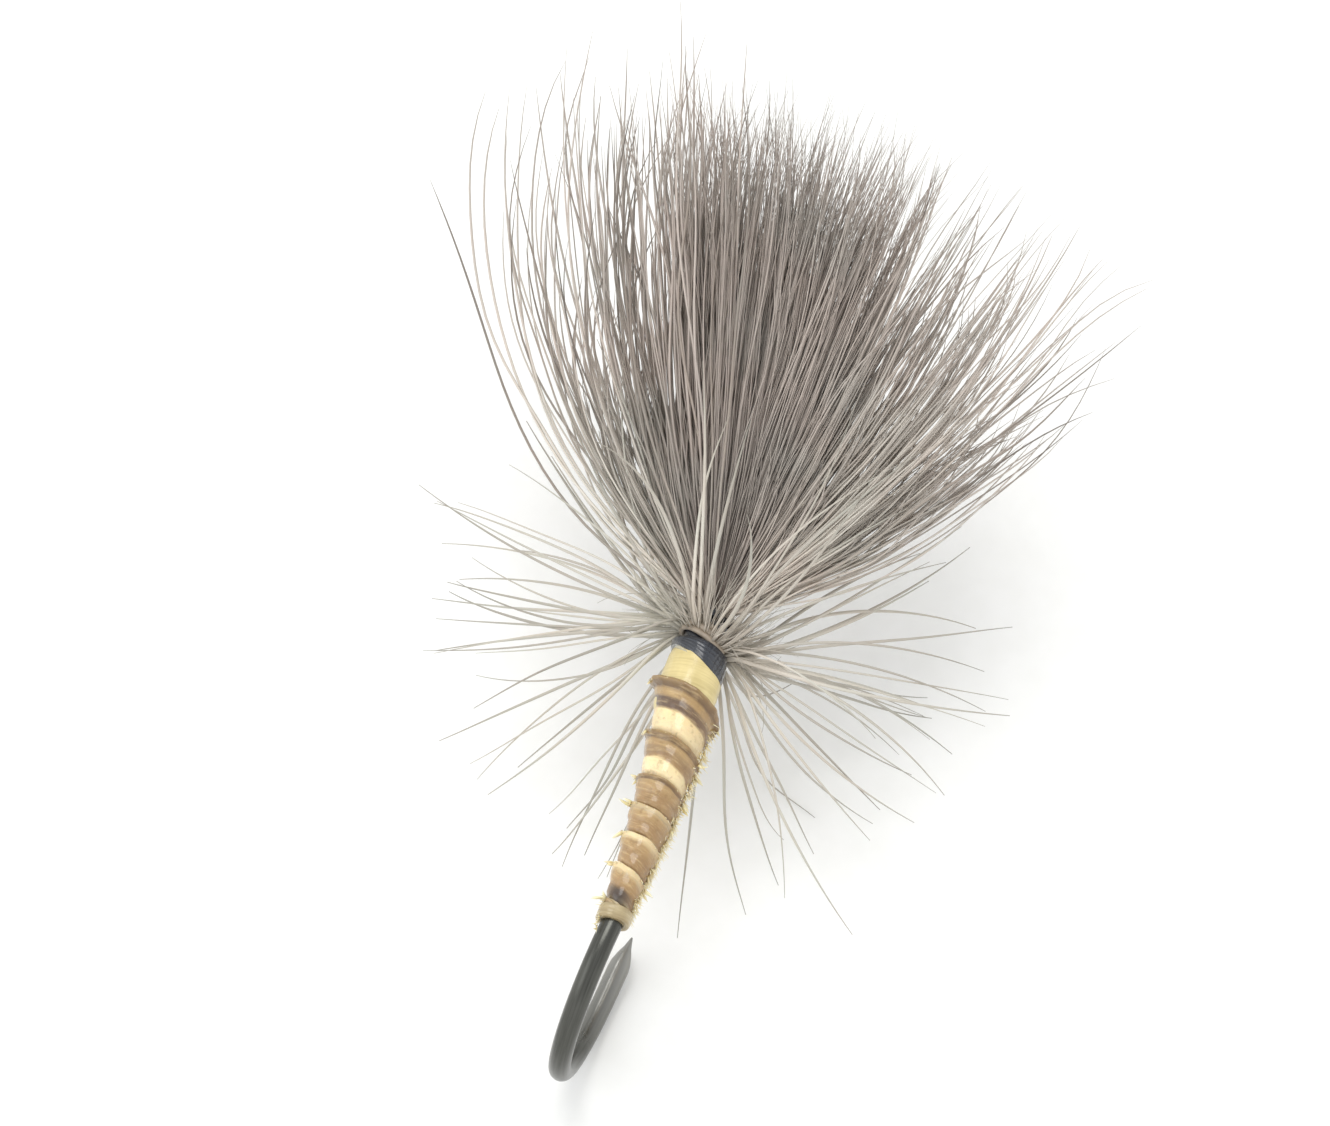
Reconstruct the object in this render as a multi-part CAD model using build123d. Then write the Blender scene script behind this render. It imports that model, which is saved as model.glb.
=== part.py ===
from build123d import *
import math
import os

# A dry fly tied on a size 12 barbless hook, in millimetres.
# +X points forward, from the bend to the eye and on along the wing. +Z is up.
# The origin is the centre of the hole in the hook's eye. The shank lies along X, and the bend
# hangs below it, turned a little to +Y.
# The fly stands as it does on water: on the bend of the hook and on the tips of its lower hackle.

# Hook: one black-nickel wire
WIRE_R = 0.26
EYE_RING_R = 0.66  # from the hole's centre to the middle of the ring's wire
EYE_WIRE_R = 0.20
EYE_HOLE_R = 0.48
SHANK_END_X = -9.65
BEND_R = 2.6
BEND_SWEEP = 188.0  # degrees, so the point is turned in by 8
LEG_LENGTH = 0.65
POINT_LENGTH = 0.85
POINT_TIP_R = 0.03
POINT_LIFT = 5.0  # degrees by which the ground point turns in further than its leg
BEND_OFFSET = 7.0  # degrees by which the bend is turned sideways from the shank, to +Y

# Stations along the shank, from the eye back to the bend
CEMENT_X = -0.87
HEAD_X = -0.93
PROP_X = -1.24
LASHING_X = -1.46
STEM_X = -1.77
BAND_X = -2.40
COLLAR_X = -3.00
QUILL_X = -3.86
TAIL_X = -9.28
THREAD_END_X = -9.62

# Radii of what is wound round the shank
THREAD_R = 0.28
BUTTS_R = 0.42
BED_R = 0.50
LASHING_R = 0.62
BAND_R = 0.71
COLLAR_R = 0.66
FLOSS_FRONT_R = 0.63
FLOSS_REAR_R = 0.34
TAIL_R = 0.41
HEAD_R = 0.40
CEMENT_FRONT_R = 0.28
CEMENT_REAR_R = 0.34
GAP = 0.01  # between windings that would otherwise share a curved face
SHOULDER = 0.06  # how far the ends of a band of windings fall below its middle
VARNISH_LENGTH = 0.12  # of the rim that the varnish leaves behind the band
KNOT_RISE = 0.035  # of the whip finish above the head

# Quill: a flat strip with a raised front edge, wound edge to edge
QUILL_TURNS = 6.0
QUILL_WIDTH_SHARE = 0.93  # of the pitch
QUILL_RIM = 0.115
QUILL_THIN = 0.045
QUILL_CROWN = 0.070
QUILL_GAP = 0.04  # under the strip, whose flat back spans the round floss

# Hackle: a wound feather stem and the barbs that stand out from it
STEM_WIRE_R = 0.075
STEM_TURNS = 2.6
BUTT_ROD_R = 0.07
BUTT_INSET = 0.05  # what is tied in under the band ends this far from its rear edge
BARB_BASE = 0.10
BARB_TIP = 0.03
BARB_LENGTH = 6.1
BARB_SPREAD = 0.45  # how far lengths differ from barb to barb
BARB_BOW = 0.03  # of its length

# Wing: locks of hair fanned forward over the eye
WING_ROOT_X = -1.45
WING_ROOT_Z = 0.60
WING_TURN = 6.0  # degrees by which the fan leans to +Y
LOCK_THICK = 0.20
LOCK_FILL = 0.80  # of a lock's share of the fan
LOCK_DROOP = 0.25  # how far a lock's tip hangs below its straight line
ROOT_LENGTH = 0.62
ROOT_WIDTH = 0.40  # of the pinched bundle at the lashing, and it doubles by the end of its length
ROOT_THICK = 0.16
GUARD_HAIR = 0.07
GUARD_HAIR_CLEAR = 1.0  # guard hairs start this far out, where they part from the locks

GROUND_Z = -BEND_R * 2 - WIRE_R

os.makedirs("parts", exist_ok=True)


def turned(outline):
    """A ring turned round the shank from (x, radius) corners."""
    corners = [(x, 0, r) for x, r in outline]
    return revolve(make_face(Polyline(*corners, close=True)), Axis.X, 360)


def sleeve(front, back, inner, outer, crown=0.0):
    """A band of windings from front to back, with rounded shoulders when crown is given."""
    if not crown:
        return turned([(front, inner), (back, inner), (back, outer), (front, outer)])
    step = (front - back) / 5
    return turned(
        [
            (front, inner),
            (back, inner),
            (back, outer - crown),
            (back + step, outer - 0.2 * crown),
            (back + 2.5 * step, outer),
            (front - step, outer - 0.2 * crown),
            (front, outer - crown),
        ]
    )


def flat_sided(sections, across, over):
    """A closed solid through rectangular sections (centre, width, thickness), all square to one line."""
    rings = []
    for centre, width, thickness in sections:
        u, v = across * (width / 2), over * (thickness / 2)
        rings.append([centre - u - v, centre + u - v, centre + u + v, centre - u + v])
    faces = [Face(Wire.make_polygon(rings[0])), Face(Wire.make_polygon(rings[-1]))]
    for one, two in zip(rings, rings[1:]):
        for i in range(4):
            j = (i + 1) % 4
            faces.append(Face(Wire.make_polygon([one[i], one[j], two[j], two[i]])))
    return Solid(Shell(faces))


def make_hook():
    bend_centre = Vector(SHANK_END_X, 0, -BEND_R)
    shank_length = -EYE_RING_R - SHANK_END_X
    shank = Solid.make_cylinder(WIRE_R, shank_length, Plane((SHANK_END_X, 0, 0), z_dir=(1, 0, 0)))
    wire_end = Plane((SHANK_END_X, 0, 0), x_dir=(0, 1, 0), z_dir=(-1, 0, 0)) * Circle(WIRE_R)
    bend = revolve(wire_end, Axis(bend_centre, (0, -1, 0)), BEND_SWEEP)
    turn_in = math.radians(BEND_SWEEP - 180)
    leg_start = bend_centre + Vector(math.sin(turn_in), 0, -math.cos(turn_in)) * BEND_R
    leg_way = Vector(math.cos(turn_in), 0, math.sin(turn_in))
    leg = Solid.make_cylinder(WIRE_R, LEG_LENGTH, Plane(leg_start, z_dir=leg_way))
    lift = turn_in + math.radians(POINT_LIFT)
    point_way = Vector(math.cos(lift), 0, math.sin(lift))
    point_start = leg_start + leg_way * LEG_LENGTH
    elbow = Pos(point_start) * Sphere(WIRE_R)
    point = Solid.make_cone(WIRE_R, POINT_TIP_R, POINT_LENGTH, Plane(point_start, z_dir=point_way))
    ring = Torus(EYE_RING_R, EYE_WIRE_R)
    hole = Cylinder(EYE_HOLE_R, 4 * EYE_WIRE_R)
    corner = Pos(SHANK_END_X, 0, 0)
    sideways = corner * Rot(Z=-BEND_OFFSET) * corner.inverse()
    return shank + corner * Sphere(WIRE_R) + sideways * (bend + leg + elbow + point) + ring - hole


def make_quill():
    length = QUILL_X - TAIL_X
    pitch = length / (QUILL_TURNS + 1)
    width = pitch * QUILL_WIDTH_SHARE
    run = pitch * QUILL_TURNS
    start_x = QUILL_X - pitch / 2
    fall = (FLOSS_FRONT_R - FLOSS_REAR_R) / length
    start_r = FLOSS_FRONT_R - fall * pitch / 2 + QUILL_GAP
    cone = -math.degrees(math.atan(fall))
    path = Helix(pitch, run, start_r, (start_x, 0, 0), (-1, 0, 0), cone, lefthand=True)
    here = path @ 0
    out = Vector(0, here.Y, here.Z).normalized()
    profile = Plane(here, x_dir=(-1, 0, -fall), z_dir=path % 0)
    outline = [
        (-0.50 * width, 0),
        (0.50 * width, 0),
        (0.50 * width, QUILL_THIN),
        (0.30 * width, QUILL_CROWN),
        (0.05 * width, QUILL_THIN),
        (-0.38 * width, QUILL_RIM),
        (-0.50 * width, QUILL_RIM),
    ]
    rise = 1 if profile.y_dir.dot(out) > 0 else -1
    corners = [profile.from_local_coords((x, rise * y)) for x, y in outline]
    return sweep(make_face(Polyline(*corners, close=True)), path=path, is_frenet=True)


def stem_helix():
    turned_length = STEM_X - BAND_X - 2 * STEM_WIRE_R - 2 * GAP
    pitch = turned_length / STEM_TURNS
    start = (STEM_X - STEM_WIRE_R - GAP, 0, 0)
    return Helix(pitch, turned_length, BED_R + STEM_WIRE_R + GAP, start, (-1, 0, 0), lefthand=True)


def make_stem():
    path = stem_helix()
    return sweep(Plane(path @ 0, z_dir=path % 0) * Circle(STEM_WIRE_R), path=path, is_frenet=True)


def make_barb(place, around, rake, length):
    """One barb from its place on the stem, at an angle round the shank from straight up.

    The rake leans it forward when positive. A barb that would pass through the surface that
    the fly stands on leans further, as the real one bends, until its tip rests on it.
    """
    out = Vector(0, math.sin(around), math.cos(around))
    x = STEM_X - STEM_WIRE_R - 2 * GAP + place * (BAND_X - STEM_X + 2 * STEM_WIRE_R + 4 * GAP)
    root = Vector(x, 0, 0) + out * (BED_R + 2 * STEM_WIRE_R + 2 * GAP)
    room = root.Z - GROUND_Z - BARB_TIP
    if -out.Z * math.cos(rake) * length > room:
        rake = math.copysign(math.acos(room / (-out.Z * length)), rake)
    way = out * math.cos(rake) + Vector(math.sin(rake), 0, 0)
    across = Vector(1, 0, 0).cross(out).normalized()
    over = way.cross(across).normalized()
    middle = root + way * (0.5 * length) + over * (BARB_BOW * length)
    sections = [
        (root, BARB_BASE, BARB_BASE),
        (middle, 0.8 * BARB_BASE, 0.7 * BARB_BASE),
        (root + way * length, BARB_TIP, BARB_TIP),
    ]
    return flat_sided(sections, across, over)


def make_barbs(first, last, count, rakes):
    """Barbs spaced evenly from one angle round the shank to another, in degrees from straight up."""
    barbs = []
    for i in range(count):
        around = math.radians(first + (last - first) * (i + 0.5) / count)
        place = (i * 0.382) % 1.0
        length = BARB_LENGTH + BARB_SPREAD * math.sin(2.4 * i + first)
        barbs.append(make_barb(place, around, math.radians(rakes[i % len(rakes)]), length))
    return Compound(children=barbs)


def fan_directions(heading, lift):
    """Out along the fan, across it, and up square to both, for a heading and a lift in degrees."""
    turn, rise = math.radians(heading + WING_TURN), math.radians(lift)
    way = Vector(math.cos(turn) * math.cos(rise), math.sin(turn) * math.cos(rise), math.sin(rise))
    across = Vector(-math.sin(turn), math.cos(turn), 0)
    return way, across, across.cross(way)


def make_lock(heading, lift, length, share, level=0.0):
    """One lock of the wing: a narrow root, its full width a third of the way out, a thin tip."""
    way, across, over = fan_directions(heading, lift)
    spread = 2 * math.tan(math.radians(share * LOCK_FILL) / 2)
    root = Vector(WING_ROOT_X, 0, WING_ROOT_Z + level)
    start = 0.08
    sections = []
    for reach, width, depth in ((start, 1, 0.6), (0.35, 1, 1), (0.70, 0.9, 0.8), (1, 0.2, 0.3)):
        droop = -LOCK_DROOP * (reach - start) * reach
        centre = root + way * (length * reach) + over * droop
        sections.append((centre, spread * reach * length * width, depth * LOCK_THICK))
    return flat_sided(sections, across, over)


def make_locks(*locks):
    return Compound(children=[make_lock(*lock) for lock in locks])


def make_root():
    """The pinched bundle of hair between the lashing and the place where the locks part."""
    way, across, _ = fan_directions(0, 0)
    up = Vector(0, 0, 1)
    start = Vector(WING_ROOT_X, 0, WING_ROOT_Z) - up * 0.09
    sections = [
        (start, ROOT_WIDTH, ROOT_THICK),
        (start + way * (ROOT_LENGTH / 2) + up * 0.08, 1.55 * ROOT_WIDTH, 1.4 * ROOT_THICK),
        (start + way * ROOT_LENGTH + up * 0.17, 2.15 * ROOT_WIDTH, 1.25 * ROOT_THICK),
    ]
    return flat_sided(sections, across, up)


def make_guard_hair(heading, lift, length):
    way, across, over = fan_directions(heading, lift)
    root = Vector(WING_ROOT_X, 0, WING_ROOT_Z)
    middle = root + way * (0.6 * length) + over * 0.15
    sections = [
        (root + way * GUARD_HAIR_CLEAR, GUARD_HAIR, GUARD_HAIR),
        (middle, 0.85 * GUARD_HAIR, 0.85 * GUARD_HAIR),
        (root + way * length, 0.4 * GUARD_HAIR, 0.4 * GUARD_HAIR),
    ]
    return flat_sided(sections, across, over)


def make_guard_hairs(*hairs):
    return Compound(children=[make_guard_hair(*hair) for hair in hairs])


def make_floss():
    """A cone under the quill, with a collar of full height in front of it."""
    return turned(
        [
            (COLLAR_X, THREAD_R),
            (TAIL_X, THREAD_R),
            (TAIL_X, FLOSS_REAR_R),
            (QUILL_X, FLOSS_FRONT_R),
            (QUILL_X + 0.05, COLLAR_R),
            (COLLAR_X, COLLAR_R),
        ]
    )


def make_wing_butts():
    """The butts lie round the top and sides of the shank, and leave its underside free."""
    cover = 220
    outline = Polyline(
        (LASHING_X, 0, THREAD_R),
        (COLLAR_X + BUTT_INSET, 0, THREAD_R),
        (COLLAR_X + BUTT_INSET, 0, BUTTS_R),
        (LASHING_X, 0, BUTTS_R),
        close=True,
    )
    return revolve(Rot(X=-cover / 2) * make_face(outline), Axis.X, cover)


def make_hackle_butt():
    """The trimmed end of the stem, in the space that the wing's butts leave under the shank."""
    below = Vector(COLLAR_X + BUTT_INSET, 0, -(THREAD_R + BUTTS_R) / 2)
    length = STEM_X - COLLAR_X - 2 * BUTT_INSET
    return Solid.make_cylinder(BUTT_ROD_R, length, Plane(below, z_dir=(1, 0, 0)))


def make_whip_finish():
    """The ridge that the last turns leave on the rear half of the head."""
    front, back = HEAD_X - 0.11, HEAD_X - 0.20
    slope = (front - back) / 3
    base, top = HEAD_R + GAP, HEAD_R + KNOT_RISE
    return turned([(front, base), (back, base), (back + slope, top), (front - slope, top)])


parts = {
    "hook": make_hook(),
    "thread_base": sleeve(HEAD_X, THREAD_END_X, WIRE_R, THREAD_R),
    "floss_underbody": make_floss(),
    "quill_body": make_quill(),
    "tail_lashing": sleeve(TAIL_X - GAP, THREAD_END_X, THREAD_R, TAIL_R, SHOULDER),
    "body_tie_off": sleeve(BAND_X, COLLAR_X, BUTTS_R, BAND_R, SHOULDER),
    "band_varnish": turned(
        [(COLLAR_X, COLLAR_R), (COLLAR_X - VARNISH_LENGTH, COLLAR_R), (COLLAR_X, BAND_R)]
    ),
    "thread_bed": sleeve(STEM_X, BAND_X, BUTTS_R, BED_R),
    "hackle_stem": make_stem(),
    "hackle_butt": make_hackle_butt(),
    "hackle_top_barbs": make_barbs(-62, 62, 11, (-22, 16, -38, 34, 4, -12, 40)),
    "hackle_left_barbs": make_barbs(66, 112, 6, (-30, 12, 30, -10)),
    "hackle_right_barbs": make_barbs(-112, -66, 6, (28, -16, 8, -34)),
    "hackle_foot_barbs": make_barbs(118, 242, 10, (-14, 12, -36, 30, -24)),
    "wing_root": make_root(),
    "wing_left_hair": make_locks((29, 15, 12.6, 8.5), (20, 11, 13.0, 8.5), (38, 9, 11.4, 8)),
    "wing_centre_hair": make_locks(
        (11, 14, 12.8, 8.5),
        (2, 12, 12.6, 8.5),
        (-7, 14, 12.2, 8.5),
        (6, 24, 11.2, 16, 0.35),
    ),
    "wing_right_hair": make_locks((-16, 11, 12.0, 8.5), (-25, 14, 11.4, 8.5), (-34, 10, 10.4, 8)),
    "wing_guard_hairs": make_guard_hairs(
        (52, 14, 11.6),
        (33, 22, 13.6),
        (15.5, 4, 13.8),
        (-11.5, 4, 13.4),
        (-29, 24, 13.2),
        (-47, 16, 11.8),
    ),
    "wing_butts": make_wing_butts(),
    "wing_lashing": sleeve(LASHING_X, STEM_X, BUTTS_R, LASHING_R, SHOULDER),
    "wing_prop_wraps": sleeve(PROP_X, LASHING_X, THREAD_R, BUTTS_R, SHOULDER / 2),
    "head_wraps": sleeve(HEAD_X, PROP_X, THREAD_R, HEAD_R, SHOULDER),
    "whip_finish": make_whip_finish(),
    "head_cement": turned(
        [(CEMENT_X, WIRE_R), (HEAD_X, WIRE_R), (HEAD_X, CEMENT_REAR_R), (CEMENT_X, CEMENT_FRONT_R)]
    ),
}

for name, shape in parts.items():
    export_step(shape, f"parts/{name}.step")
    print(name, round(shape.volume, 3))
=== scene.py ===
import math

import bpy
import numpy as np
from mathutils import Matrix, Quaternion, Vector


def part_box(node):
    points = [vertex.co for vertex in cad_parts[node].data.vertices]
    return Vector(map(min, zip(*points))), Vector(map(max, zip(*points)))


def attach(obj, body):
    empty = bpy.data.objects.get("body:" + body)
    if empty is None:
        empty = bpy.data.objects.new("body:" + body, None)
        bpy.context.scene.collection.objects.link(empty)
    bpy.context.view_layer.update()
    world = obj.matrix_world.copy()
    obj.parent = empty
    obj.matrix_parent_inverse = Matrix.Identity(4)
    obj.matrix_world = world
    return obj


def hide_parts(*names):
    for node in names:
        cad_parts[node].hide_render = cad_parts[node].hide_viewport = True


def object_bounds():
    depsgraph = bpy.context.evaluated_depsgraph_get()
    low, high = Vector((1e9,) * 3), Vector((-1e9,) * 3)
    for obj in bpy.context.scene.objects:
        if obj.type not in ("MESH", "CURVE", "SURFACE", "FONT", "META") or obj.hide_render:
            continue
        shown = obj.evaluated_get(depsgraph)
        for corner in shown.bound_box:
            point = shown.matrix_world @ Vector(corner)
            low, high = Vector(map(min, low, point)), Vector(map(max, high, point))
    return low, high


# The looks of a dry fly. Lengths are in millimetres, and MM turns them into metres.
# +X is forward along the shank, from the bend to the eye, and +Z is up.
# An angle round the shank grows from straight up towards -Y.

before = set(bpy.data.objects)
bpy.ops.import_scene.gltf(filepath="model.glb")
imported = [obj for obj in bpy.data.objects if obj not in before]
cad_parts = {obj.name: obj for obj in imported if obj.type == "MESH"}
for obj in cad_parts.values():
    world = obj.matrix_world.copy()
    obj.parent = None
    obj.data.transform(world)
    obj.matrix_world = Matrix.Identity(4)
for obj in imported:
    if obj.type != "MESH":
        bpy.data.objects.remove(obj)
cad_low, cad_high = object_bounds()

MM = 0.001
FLOOR_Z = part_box("hook")[0].z / MM  # the bend of the hook stands on the floor
HACKLE_SLANT = 0.22  # the hackle is wound on a slant, further back on the -Y side
BAND_SLANT = 0.46  # the same for the back edge of the band behind it
draw = np.random.default_rng(21)


# ---------------------------------------------------------------- mesh tools

def span(node):
    """Where a wound CAD node lies: its front and back along the shank, and its radius."""
    low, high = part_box(node)
    return high.x / MM, low.x / MM, (high.z - low.z) / 2 / MM


def add_piece(name, points, faces, material, slot, nodes=(), **attributes):
    """A smooth mesh piece on the root body, from points in millimetres."""
    mesh = bpy.data.meshes.new(name)
    mesh.from_pydata((np.asarray(points, float).reshape(-1, 3) * MM).tolist(), [], faces)
    mesh.polygons.foreach_set("use_smooth", [True] * len(mesh.polygons))
    for key, values in attributes.items():
        layer = mesh.attributes.new(key, "FLOAT", "POINT")
        layer.data.foreach_set("value", np.asarray(values, np.float32).ravel())
    mesh.materials.append(material)
    piece = bpy.data.objects.new(name, mesh)
    bpy.context.scene.collection.objects.link(piece)
    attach(piece, "root")
    if nodes:
        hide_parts(*nodes)


def unit(v):
    return v / np.maximum(np.linalg.norm(v, axis=-1, keepdims=True), 1e-12)


def tube_faces(count, rings, sides):
    """Quads along count tubes, with their two ends closed."""
    faces = []
    for k in range(count):
        base = k * rings * sides
        for i in range(rings - 1):
            a, b = base + i * sides, base + (i + 1) * sides
            faces += [(a + j, a + (j + 1) % sides, b + (j + 1) % sides, b + j) for j in range(sides)]
        last = base + (rings - 1) * sides
        faces.append(tuple(range(base + sides - 1, base - 1, -1)))
        faces.append(tuple(range(last, last + sides)))
    return faces


def tubes(paths, radii, sides, flatten=1.0, across=None):
    """Corner points of tubes round paths (tubes, rings, 3); a flattened one is thinner one way.

    A path that turns right round needs a direction across it that it never runs along.
    """
    along = unit(np.gradient(paths, axis=1))
    chord = unit(paths[:, -1] - paths[:, 0])
    aside = np.where(np.abs(chord[:, 2:3]) < 0.9, [[0.0, 0.0, 1.0]], [[1.0, 0.0, 0.0]])
    if across is not None:
        aside = np.broadcast_to(np.array(across, float), aside.shape)
    u = unit(np.cross(along, aside[:, None, :]))
    v = np.cross(along, u)
    turn = np.arange(sides) * 2 * np.pi / sides
    ring = np.cos(turn)[:, None] * u[:, :, None, :] + flatten * np.sin(turn)[:, None] * v[:, :, None, :]
    return paths[:, :, None, :] + radii[:, :, None, None] * ring


def strands(name, paths, radii, sides, material, slot, nodes=(), flatten=1.0, side_glow=None, across=None):
    """A bundle of thin tubes as one piece, with how far along and which tone each point has."""
    count, rings = paths.shape[:2]
    points = tubes(paths, radii, sides, flatten, across)
    along = np.broadcast_to(np.linspace(0, 1, rings)[None, :, None], (count, rings, sides))
    tone = np.broadcast_to(draw.random(count)[:, None, None], (count, rings, sides))
    faces = tube_faces(count, rings, sides)
    more = {} if side_glow is None else {"side_glow": np.broadcast_to(side_glow[:, None, None], (count, rings, sides))}
    add_piece(name, points, faces, material, slot, nodes, along=along, tone=tone, **more)


def sheet_faces(rows, columns, round_columns=False):
    """Quads over a grid of rows by columns, closed into a ring across the columns when asked."""
    faces = []
    for i in range(rows - 1):
        for j in range(columns if round_columns else columns - 1):
            k = (j + 1) % columns
            faces.append((i * columns + j, i * columns + k, (i + 1) * columns + k, (i + 1) * columns + j))
    return faces


def turned_piece(name, x, radius, material, slot, nodes, wobble, seed, slant=0.0):
    """A ring of revolution through a closed (x, radius) outline, slightly out of round by wobble.

    A slanted ring lies further back on the -Y side; the slant may change along the outline.
    """
    sides = 96
    turn = np.linspace(0, 2 * np.pi, sides, endpoint=False)
    x, radius = np.asarray(x, float)[:, None], np.asarray(radius, float)[:, None]
    slant = np.broadcast_to(slant, len(x))[:, None]
    uneven = wobble * (np.sin(3 * turn + seed) + 0.6 * np.sin(5 * turn + 7 * x + 2 * seed))
    r = radius + uneven * (radius > radius.min() + 1e-6)
    across = 0.5 * wobble * np.sin(2 * turn + seed + 3 * x) - slant * np.sin(turn)
    points = np.stack([x + across + 0 * turn, -r * np.sin(turn), r * np.cos(turn)], axis=-1)
    faces = sheet_faces(len(x), sides, True)
    first, last = np.arange(sides), (len(x) - 1) * sides + np.arange(sides)
    faces += [(last[j], last[(j + 1) % sides], first[(j + 1) % sides], first[j]) for j in range(sides)]
    faces = [tuple(int(n) for n in face) for face in faces]
    around = np.broadcast_to(turn / (2 * np.pi), (len(x), sides))
    place = np.broadcast_to(x, (len(x), sides))
    add_piece(name, points, faces, material, slot, nodes, around=around, place=place)


# ---------------------------------------------------------------- material tools

class Looks:
    """A principled material with short ways to add the nodes that drive it."""

    def __init__(self, name, **constants):
        self.material = bpy.data.materials.new(name)
        self.material.use_nodes = True
        self.tree = self.material.node_tree
        self.shader = self.tree.nodes["Principled BSDF"]
        for key, value in constants.items():
            self.shader.inputs[key.replace("_", " ")].default_value = value

    def node(self, kind, inputs=(), **settings):
        made = self.tree.nodes.new(kind)
        for key, value in settings.items():
            setattr(made, key, value)
        for key, value in dict(inputs).items():
            if isinstance(value, bpy.types.NodeSocket):
                self.tree.links.new(value, made.inputs[key])
            else:
                made.inputs[key].default_value = value
        return made

    def attribute(self, name):
        return self.node("ShaderNodeAttribute", attribute_name=name).outputs["Fac"]

    def math(self, operation, a, b=0.0, c=0.0):
        made = self.node("ShaderNodeMath", operation=operation)
        for socket, value in zip(made.inputs, (a, b, c)):
            if isinstance(value, bpy.types.NodeSocket):
                self.tree.links.new(value, socket)
            else:
                socket.default_value = value
        return made.outputs[0]

    def place(self, x, y=0.0):
        return self.node("ShaderNodeCombineXYZ", {"X": x, "Y": y}).outputs[0]

    def millimetres(self):
        """The place of a point on the object."""
        where = self.node("ShaderNodeTexCoord").outputs["Object"]
        scaled = self.node("ShaderNodeVectorMath", {0: where}, operation="SCALE")
        scaled.inputs["Scale"].default_value = 1 / MM
        return scaled.outputs[0]

    def noise(self, where, scale, detail=3.0, roughness=0.5):
        inputs = {"Vector": where, "Scale": scale, "Detail": detail, "Roughness": roughness}
        return self.node("ShaderNodeTexNoise", inputs).outputs["Fac"]

    def ramp(self, factor, *stops):
        made = self.node("ShaderNodeValToRGB", {"Fac": factor})
        elements = made.color_ramp.elements
        while len(elements) < len(stops):
            elements.new(0.5)
        for element, (position, colour) in zip(elements, stops):
            element.position = position
            element.color = (*colour, 1)
        return made.outputs["Color"]

    def mix(self, factor, a, b, blend="MIX"):
        made = self.node("ShaderNodeMix", data_type="RGBA", blend_type=blend)
        for socket, value in zip((made.inputs[0], made.inputs[6], made.inputs[7]), (factor, a, b)):
            if isinstance(value, bpy.types.NodeSocket):
                self.tree.links.new(value, socket)
            else:
                socket.default_value = value if isinstance(value, float) else (*value, 1)
        return made.outputs[2]

    def drive(self, socket, value):
        self.tree.links.new(value, self.shader.inputs[socket])

    def bump(self, height, distance, strength):
        inputs = {"Height": height, "Distance": distance * MM, "Strength": strength}
        self.drive("Normal", self.node("ShaderNodeBump", inputs).outputs[0])

    def roughness(self, value, low, high):
        spread = self.node("ShaderNodeMapRange", {"Value": value, "To Min": low, "To Max": high})
        self.drive("Roughness", spread.outputs[0])


# ---------------------------------------------------------------- materials

def nickel_looks():
    """Black-nickelled wire with fine drawing lines along it."""
    m = Looks("black_nickel", Metallic=0.9, Coat_Weight=0.15, Coat_Roughness=0.15)
    place = m.attribute("place")
    lengthwise = m.place(m.math("MULTIPLY", place, 0.7), m.math("MULTIPLY", m.attribute("around"), 26.0))
    drawn = m.noise(lengthwise, 1.0, 4.0, 0.6)
    cloud = m.noise(m.millimetres(), 1.6, 3.0)
    colour = m.ramp(drawn, (0.30, (0.036, 0.037, 0.032)), (0.72, (0.095, 0.096, 0.086)))
    # painted reflection: the wire is made lighter towards the point, for the light the leg catches
    painted_reflection = m.ramp(m.math("DIVIDE", place, 20.0), (0.78, (0, 0, 0)), (0.92, (1, 1, 1)))
    plated = m.mix(m.math("MULTIPLY", cloud, 0.5), colour, (0.120, 0.120, 0.108))
    m.drive("Base Color", m.mix(m.math("MULTIPLY", painted_reflection, 0.8), plated, (0.31, 0.306, 0.285)))
    m.roughness(cloud, 0.22, 0.36)
    m.bump(drawn, 0.008, 0.8)
    return m.material


def thread_looks(name, dark, light, twist, rough, coat):
    """Thread or floss: fine filaments run round the shank, and each winding catches the light."""
    m = Looks(name, Coat_Weight=coat, Coat_Roughness=0.10, Specular_IOR_Level=0.5)
    place = m.math("MULTIPLY", m.attribute("place"), twist)
    fine = m.noise(m.place(place, m.math("MULTIPLY", m.attribute("around"), 2.5)), 1.0, 4.0, 0.65)
    soft = m.noise(m.millimetres(), 2.2, 2.0)
    m.drive("Base Color", m.ramp(m.math("MULTIPLY_ADD", soft, 0.45, m.math("MULTIPLY", fine, 0.6)),
                                 (0.30, dark), (0.72, light)))
    m.roughness(fine, rough, rough + 0.18)
    m.bump(fine, 0.012, 0.8)
    return m.material


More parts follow.
